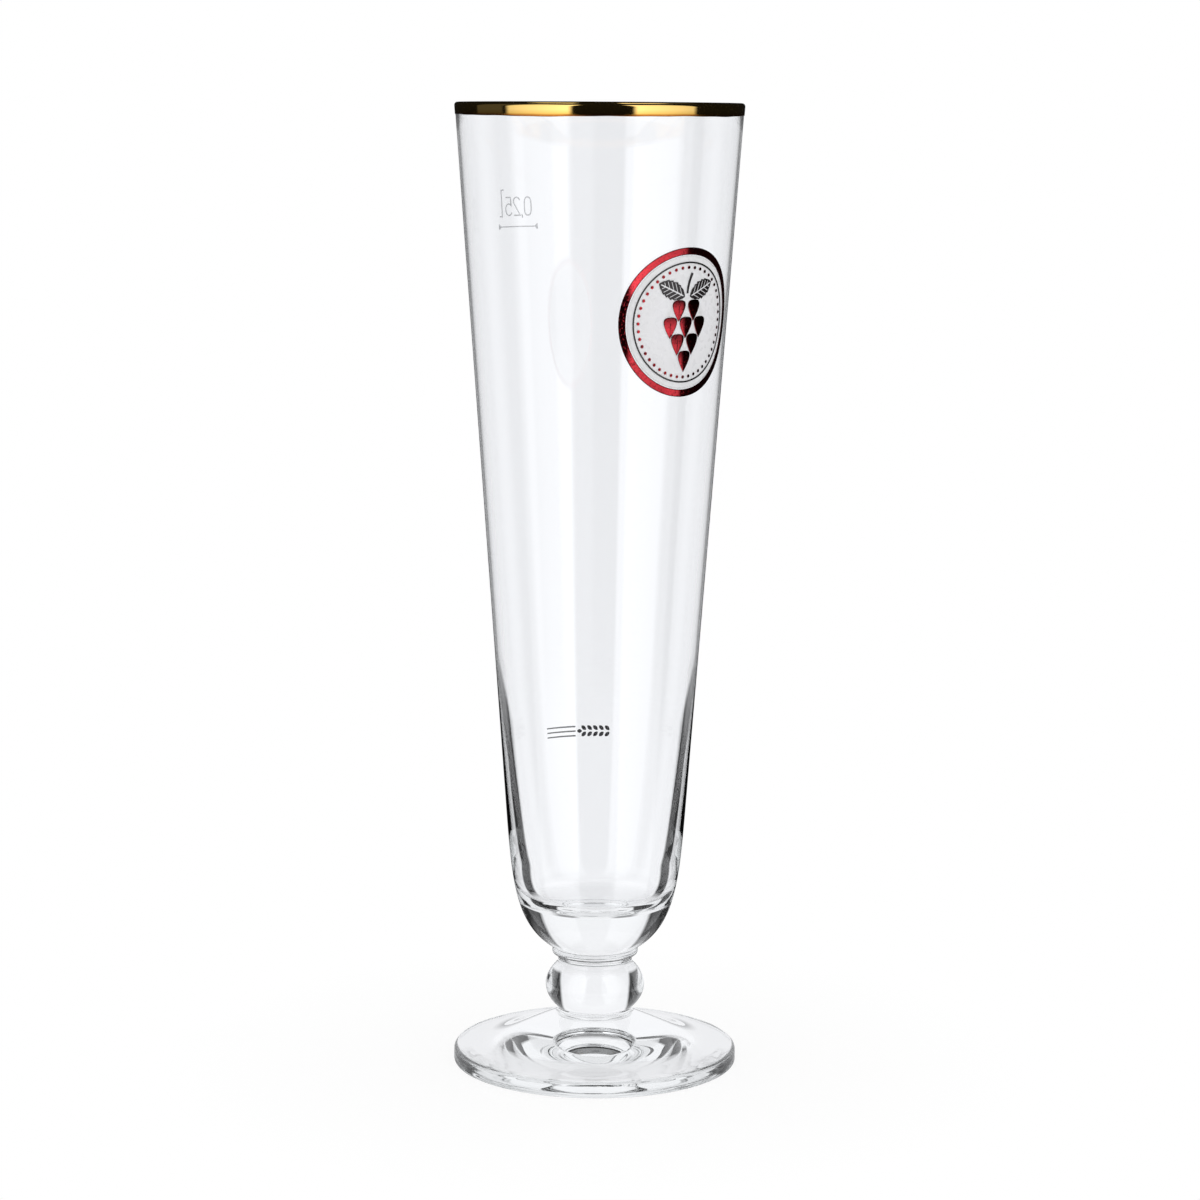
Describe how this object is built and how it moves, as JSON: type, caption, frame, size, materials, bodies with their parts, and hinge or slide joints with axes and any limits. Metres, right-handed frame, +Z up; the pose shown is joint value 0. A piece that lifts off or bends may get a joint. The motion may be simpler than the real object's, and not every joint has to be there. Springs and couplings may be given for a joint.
{
  "type": "footed beer glass",
  "caption": "Tall slender conical beer glass with a gold rim, a thick rounded base, a short stem with a ball knop and a flared disc foot, with printed enamel marks on its wall.",
  "frame": {"origin": "centre of the foot's resting plane, on the glass's axis", "axes": "+Z up along the axis from the foot to the rim; the picture looks along +Y, with +X to its right"},
  "size_m": [0.0646, 0.0646, 0.2182],
  "materials": {
    "clear_glass": "clear fire-polished soda-lime glass",
    "rim_gold": "bright fired gold",
    "red_lustre": "metallic red lustre print",
    "white_enamel": "glossy white enamel print",
    "black_enamel": "glossy black enamel print",
    "navy_enamel": "satin dark navy enamel print",
    "grey_enamel": "pale grey satin mark"
  },
  "bodies": {
    "root": {"foot": "clear_glass", "stem": "clear_glass", "bowl": "clear_glass", "rim_gold_band": "rim_gold", "badge_border": "red_lustre", "badge_field": "white_enamel", "badge_keyline": "black_enamel", "hop_scale_1": "red_lustre", "hop_scale_2": "red_lustre", "hop_scale_3": "red_lustre", "hop_scale_4": "red_lustre", "hop_scale_5": "red_lustre", "hop_scale_6": "red_lustre", "hop_scale_7": "red_lustre", "hop_scale_8": "red_lustre", "hop_leaf_right": "black_enamel", "hop_leaf_left": "black_enamel", "hop_stalk": "black_enamel", "barley_grain_upper_1": "navy_enamel", "barley_grain_upper_2": "navy_enamel", "barley_grain_upper_3": "navy_enamel", "barley_grain_upper_4": "navy_enamel", "barley_grain_upper_5": "navy_enamel", "barley_grain_lower_1": "navy_enamel", "barley_grain_lower_2": "navy_enamel", "barley_grain_lower_3": "navy_enamel", "barley_grain_lower_4": "navy_enamel", "barley_grain_lower_5": "navy_enamel", "barley_grain_tip": "navy_enamel", "barley_awn_1": "navy_enamel", "barley_awn_2": "navy_enamel", "barley_awn_3": "navy_enamel", "fill_line": "grey_enamel"}
  },
  "joints": []
}
